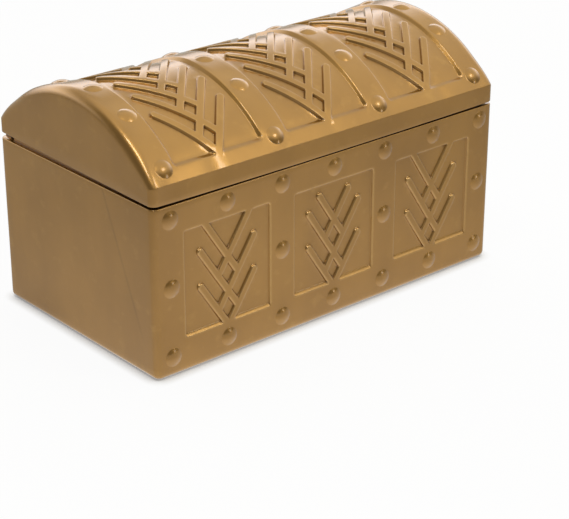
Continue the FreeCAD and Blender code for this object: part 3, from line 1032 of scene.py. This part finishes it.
class Wire:
    """A node's output that can be used in a Python expression."""

    def __init__(self, tree, socket=None):
        self.tree, self.socket = tree, socket

    def node(self, kind, settings=None, inputs=None, output=0):
        """Adds a node of any type: its settings first, then its values and links."""
        made = self.tree.nodes.new(kind)
        for name, value in (settings or {}).items():
            if name == "stops":
                ramp = made.color_ramp
                while len(ramp.elements) < len(value):
                    ramp.elements.new(1.0)
                for element, (position, colour) in zip(ramp.elements, value):
                    element.position, element.color = position, (*colour, 1.0)
            else:
                setattr(made, name, value)
        for name, value in (inputs or {}).items():
            if isinstance(value, Wire):
                self.tree.links.new(value.socket, made.inputs[name])
            else:
                made.inputs[name].default_value = value
        return Wire(self.tree, made.outputs[output] if len(made.outputs) else None)

    def out(self, name):
        """Another output of the same node."""
        return Wire(self.tree, self.socket.node.outputs[name])

    def maths(self, operation, first, second):
        return self.node("ShaderNodeMath", {"operation": operation}, {0: first, 1: second})

    def __add__(self, other):
        return self.maths("ADD", self, other)

    def __sub__(self, other):
        return self.maths("SUBTRACT", self, other)

    def __rsub__(self, other):
        return self.maths("SUBTRACT", other, self)

    def __mul__(self, other):
        return self.maths("MULTIPLY", self, other)

    def __truediv__(self, other):
        return self.maths("DIVIDE", self, other)

    def __rtruediv__(self, other):
        return self.maths("DIVIDE", other, self)

    def __abs__(self):
        return self.maths("ABSOLUTE", self, 0.0)

    __radd__ = __add__
    __rmul__ = __mul__

    def clamp(self):
        """The value kept from 0 to 1."""
        return self.node("ShaderNodeClamp", {}, {"Value": self})

    def above(self, start, run):
        """From 0 at start to 1 one run above it."""
        return ((self - start) / run).clamp()

    def below(self, end, run):
        """From 0 at end to 1 one run below it."""
        return ((end - self) / run).clamp()

    def mix(self, low, high):
        """A colour between two others, by this value."""
        return self.node("ShaderNodeMix", {"data_type": "RGBA"}, {0: self, 6: low, 7: high}, 2)

    def blend(self, low, high):
        """A shader between two others, by this value."""
        return self.node("ShaderNodeMixShader", {}, {0: self, 1: low, 2: high})


def start_nodes(block):
    """Empties the nodes of a material or world and gives a wire to start from."""
    block.use_nodes = True
    block.node_tree.nodes.clear()
    return Wire(block.node_tree)


def solid(colour, part=1.0):
    """A colour, or part of its brightness, as a shader takes it."""
    return (*(part * c for c in colour), 1.0)


def openness(wire, reach, inside=False):
    """1 in the open, less where a surface stands within reach; inside looks for thin edges."""
    return wire.node("ShaderNodeAmbientOcclusion",
                     {"samples": OCCLUSION_SAMPLES, "inside": inside}, {"Distance": reach}, "AO")


def gold_plastic():
    """Satin metallic gold plastic: flow marks, fine grain, a painted highlight along the edges and
    painted shade in corners.
    """
    look = bpy.context.scene.chest_gold
    material = bpy.data.materials.new("satin_gold")
    wire = start_nodes(material)
    place_on = wire.node("ShaderNodeTexCoord", {}, {}, "Object")

    def noise(scale, detail, stretch=(1, 1, 1), turn=(0, 0, 0)):
        mapped = wire.node("ShaderNodeMapping", {}, {"Vector": place_on, "Scale": stretch,
                                                     "Rotation": turn})
        return wire.node("ShaderNodeTexNoise", {}, {"Vector": mapped, "Scale": scale,
                                                    "Detail": detail, "Roughness": 0.55})

    clouds = noise(28.0, 3.0)
    flow = noise(34.0, 4.0, (1.0, 1.0, 0.16), (0.35, 0.25, 0.0))
    grain = noise(2600.0, 2.0)
    peel = noise(420.0, 2.0)
    rub = noise(160.0, 4.0)

    drift = (clouds * 2.2 + flow * 1.6 - 1.4).clamp()
    colour = drift.mix(solid(look.gold_dark), solid(look.gold))
    colour = ((rub - 0.58) * 2.2).clamp().mix(colour, solid(look.gold_worn))
    spot = wire.node("ShaderNodeSeparateXYZ", {}, {"Vector": place_on})
    across, along, up = (spot.out(axis) for axis in "XYZ")

    # Weld line on the left end: a slanting stripe that fades towards foot and rim.
    weld_slope, weld_place, weld_width, left_end = 0.418, 0.0485, 0.0011, -0.084
    stripe = (1 - abs(along - up * weld_slope + weld_place) / weld_width).clamp()
    weld = stripe * across.below(left_end, 0.002) * up.above(0.012, 0.012) \
        * up.below(0.0695, 0.001) * rub * 0.7
    colour = weld.mix(colour, solid(look.gold_dark, 0.6))

    # Painted highlight along the edges: full on the tub, less on the lid, and none along the seam.
    tub_edges, lid_edges, fade, lid_part = 0.068, 0.079, 0.003, 0.3
    highlight_share = up.below(tub_edges, fade) + up.above(lid_edges, fade) * lid_part
    rubbed = ((0.92 - openness(wire, EDGE_HIGHLIGHT_REACH, True)) * 3.2).clamp() * highlight_share
    colour = rubbed.mix(colour, solid(look.ridge))
    # Painted shade: the colour darkens to brown where other surfaces stand close, in corners and at
    # the foot of the ribs and rivets.
    grime = ((0.88 - openness(wire, CORNER_SHADE_REACH)) * 2.2).clamp()
    colour = grime.mix(colour, solid(look.grime))
    roughness = look.roughness - 0.07 + clouds * 0.08 + rub * 0.05 + grain * 0.03
    height = peel * 0.5 + grain * 0.25
    normal = wire.node("ShaderNodeBump", {}, {"Height": height, "Strength": 0.10,
                                              "Distance": 0.00012})
    shader = wire.node("ShaderNodeBsdfPrincipled", {}, {
        "Base Color": colour, "Roughness": roughness, "Normal": normal,
        "Metallic": look.metallic, "Coat Weight": look.coat,
        "Coat Roughness": look.coat_roughness, "IOR": 1.5,
        "Specular Tint": solid(look.gold_glance)})
    wire.node("ShaderNodeOutputMaterial", {}, {"Surface": shader})
    return material


def pin_steel():
    """Drawn steel wire with fine marks along its length."""
    look = bpy.context.scene.chest_gold
    material = bpy.data.materials.new("drawn_steel")
    wire = start_nodes(material)
    place_on = wire.node("ShaderNodeTexCoord", {}, {}, "Object")
    mapped = wire.node("ShaderNodeMapping", {}, {"Vector": place_on, "Scale": (0.03, 1, 1)})
    lines = wire.node("ShaderNodeTexNoise", {}, {"Vector": mapped, "Scale": 5200.0, "Detail": 3.0})
    colour = lines.mix(solid(look.steel, 0.8), solid(look.steel))
    normal = wire.node("ShaderNodeBump", {}, {"Height": lines, "Strength": 0.2,
                                              "Distance": 0.00003})
    shader = wire.node("ShaderNodeBsdfPrincipled", {}, {
        "Base Color": colour, "Roughness": look.steel_roughness - 0.06 + lines * 0.12,
        "Normal": normal, "Metallic": 1.0})
    wire.node("ShaderNodeOutputMaterial", {}, {"Surface": shader})
    return material


def chest_gold_material():
    """The gold plastic, made once."""
    return bpy.data.materials.get("satin_gold") or gold_plastic()


class CHEST_OT_tub(bpy.types.Operator):
    """Build the tub with its strapped and riveted front, rim tongue and hinge knuckles"""

    bl_idname = "chest.tub"
    bl_label = "Tub"

    def execute(self, context):
        plan = chest_plan()
        mesh = carve(tub_block(plan), [
            ("UNION", tongue_strips(plan)), ("DIFFERENCE", [tub_hollow(plan)]),
            ("UNION", knuckles(plan)), ("DIFFERENCE", knuckle_cuts(plan))])
        finish_piece("tub", mesh, chest_gold_material(), "base_tub", "base")
        return {"FINISHED"}


class CHEST_OT_lid(bpy.types.Operator):
    """Build the barrel lid with its straps, rivets, chevron panels and hinge ears"""

    bl_idname = "chest.lid"
    bl_label = "Lid"

    def execute(self, context):
        plan = chest_plan()
        mesh = carve(lid_block(plan), [
            ("DIFFERENCE", lid_cuts(plan)), ("UNION", lid_ears(plan)),
            ("DIFFERENCE", ear_bores(plan))])
        finish_piece("lid", mesh, chest_gold_material(), "lid_shell", "lid")
        return {"FINISHED"}


class CHEST_OT_pins(bpy.types.Operator):
    """Finish the two hinge pins in drawn steel"""

    bl_idname = "chest.pins"
    bl_label = "Hinge pins"

    def execute(self, context):
        material = pin_steel()
        for name in PINS:
            pin = frame["nodes"][name]
            dress(pin.data, material)
            for face in pin.data.polygons:
                face.use_smooth = True
        return {"FINISHED"}


class CHEST_OT_studio(bpy.types.Operator):
    """Set up the floor, the soft lamps, the surroundings and the camera"""

    bl_idname = "chest.studio"
    bl_label = "Studio"

    def execute(self, context):
        look = context.scene.chest_studio
        self.floor(look)
        self.surroundings(look)
        for name, *lamp in LAMPS:
            self.lamp(name, *lamp, getattr(look, name + "_power"))
        camera = bpy.data.cameras.new("camera")
        camera.lens, camera.sensor_width, camera.clip_start = look.lens, 36.0, 0.05
        viewer = add_object("camera", camera)
        viewer.location = look.camera_place
        viewer.rotation_euler = Euler(look.camera_turn)
        context.scene.camera = viewer
        context.scene.view_settings.view_transform = "Standard"
        return {"FINISHED"}

    def floor(self, look):
        """Pale floor that the camera sees as white paper, with a narrow shadow at the foot."""
        skin = Skin()
        half_floor, tile, drop = 4000.0, 1000.0, 0.1
        places = stations(-half_floor, half_floor, tile)
        across, along = np.meshgrid(places, places, indexing="ij")
        skin.sheet(np.stack([across, along, np.full(across.shape, -drop)], -1))
        material = bpy.data.materials.new("floor_paper")
        wire = start_nodes(material)
        paths = wire.node("ShaderNodeLightPath")
        camera, gloss = paths.out("Is Camera Ray"), paths.out("Is Glossy Ray")
        clear = paths.out("Is Transmission Ray")
        spot = wire.node("ShaderNodeTexCoord", {}, {}, "Object")
        bright_spot, bright_reach, bright_fade = (-0.05, -0.1, 0.0), 0.25, 0.17
        away = wire.node("ShaderNodeVectorMath", {"operation": "DISTANCE"},
                         {0: spot, 1: bright_spot}, "Value")
        near = away.below(bright_reach, bright_fade)
        along = wire.node("ShaderNodeSeparateXYZ", {}, {"Vector": spot}, "Y")
        foot_front, foot_back, foot_shine = -0.07, -0.045, 0.1
        foot = along.above(foot_front, 0.008) * along.below(foot_back, 0.004)
        bounce = wire.node("ShaderNodeBsdfDiffuse", {}, {"Color": solid(look.floor_bounce)})
        paper = wire.node("ShaderNodeBsdfDiffuse", {}, {"Color": solid(look.floor_colour)})
        white = wire.node("ShaderNodeEmission", {}, {"Color": (1, 1, 1, 1), "Strength": 1.0})
        askance = wire.node("ShaderNodeLayerWeight", {}, {"Blend": 0.5}, "Facing")
        shine = look.floor_shine + askance.below(0.62, 0.4) * look.floor_steep
        shelter = openness(wire, FOOT_REACH)
        shade = 1 - ((1 - shelter) * 1.9).clamp() * look.floor_shade
        mirrored = near * shine + foot * foot_shine
        glow = (camera + clear) * look.floor_glow * shade + gloss * mirrored
        seen = glow.clamp().blend(camera.blend(bounce, paper), white)
        wire.node("ShaderNodeOutputMaterial", {}, {"Surface": seen})
        mesh = skin.mesh("floor")
        mesh.flip_normals()
        dress(mesh, material)
        floor = add_object("floor", mesh)
        floor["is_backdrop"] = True

    def surroundings(self, look):
        """White backdrop behind the chest, fading to a darker room in front of it."""
        world = bpy.data.worlds.new("studio")
        wire = start_nodes(world)
        direction = wire.node("ShaderNodeTexCoord", {}, {}, "Generated")
        split = wire.node("ShaderNodeSeparateXYZ", {}, {"Vector": direction})
        across, away, up = (split.out(axis) for axis in "XYZ")

        def light(strength, colour=(1, 1, 1)):
            return wire.node("ShaderNodeBackground", {}, {"Color": solid(colour),
                                                          "Strength": strength})

        overhead = (across * 0.3 - away * 0.15 + up * 0.9).above(0.5, 0.25)
        behind = (across * 0.8 + away * 1.39).clamp() * (1 - abs(up - 0.3) / 0.32).clamp()
        left = (away * 0.3 - across).above(0.4, 0.3) * (1 - up * 2.2).clamp()
        glow = left.blend(light(look.room), light(look.left))
        over = (away * 0.7 + up * 0.7 - across * 0.1).above(0.85, 0.1)
        glow = over.blend(glow, light(look.above))
        glow = overhead.blend(glow, light(look.ceiling, (1, 0.98, 0.87)))
        glow = behind.blend(glow, light(look.backdrop, (0.88, 0.91, 1)))
        camera = wire.node("ShaderNodeLightPath", {}, {}, "Is Camera Ray")
        glow = camera.blend(glow, light(1.0))
        wire.node("ShaderNodeOutputWorld", {}, {"Surface": glow})
        bpy.context.scene.world = world

    def lamp(self, name, where, target, width, height, power):
        """A soft lamp that faces its target."""
        lamp = bpy.data.lights.new(name, "AREA")
        lamp.shape, lamp.size, lamp.size_y, lamp.energy = "RECTANGLE", width, height, power
        holder = add_object(name, lamp)
        holder.location = where
        aim = Vector(target) - Vector(where)
        holder.rotation_euler = aim.to_track_quat("-Z", "Y").to_euler()
        holder.visible_camera = False


OPERATORS = (CHEST_OT_tub, CHEST_OT_lid, CHEST_OT_pins, CHEST_OT_studio)


class CHEST_PT_panel(bpy.types.Panel):
    """Sizes, finish and building steps of the chest"""

    bl_idname = "CHEST_PT_panel"
    bl_label = "Treasure chest box"
    bl_space_type = "VIEW_3D"
    bl_region_type = "UI"
    bl_category = "Chest"

    def draw(self, context):
        for operator in OPERATORS:
            self.layout.operator(operator.bl_idname)
        for attribute in (*FORMS, *LOOKS):
            group = getattr(context.scene, attribute)
            box = self.layout.box()
            for name in group.__annotations__:
                box.prop(group, name)


def register():
    for cls in (*FORMS.values(), *LOOKS.values(), *OPERATORS, CHEST_PT_panel):
        bpy.utils.register_class(cls)
    for attribute, group in (FORMS | LOOKS).items():
        setattr(bpy.types.Scene, attribute, bpy.props.PointerProperty(type=group))


def unregister():
    for attribute in (*FORMS, *LOOKS):
        delattr(bpy.types.Scene, attribute)
    for cls in (CHEST_PT_panel, *OPERATORS, *LOOKS.values(), *FORMS.values()):
        bpy.utils.unregister_class(cls)


def main():
    register()
    bpy.ops.chest.tub()
    bpy.ops.chest.lid()
    bpy.ops.chest.pins()
    bpy.ops.chest.studio()
    sizes = {name: [list(corner) for corner in box]
             for name, box in (("cad", cad_box), ("visual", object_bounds()))}


if __name__ == "__main__":
    main()
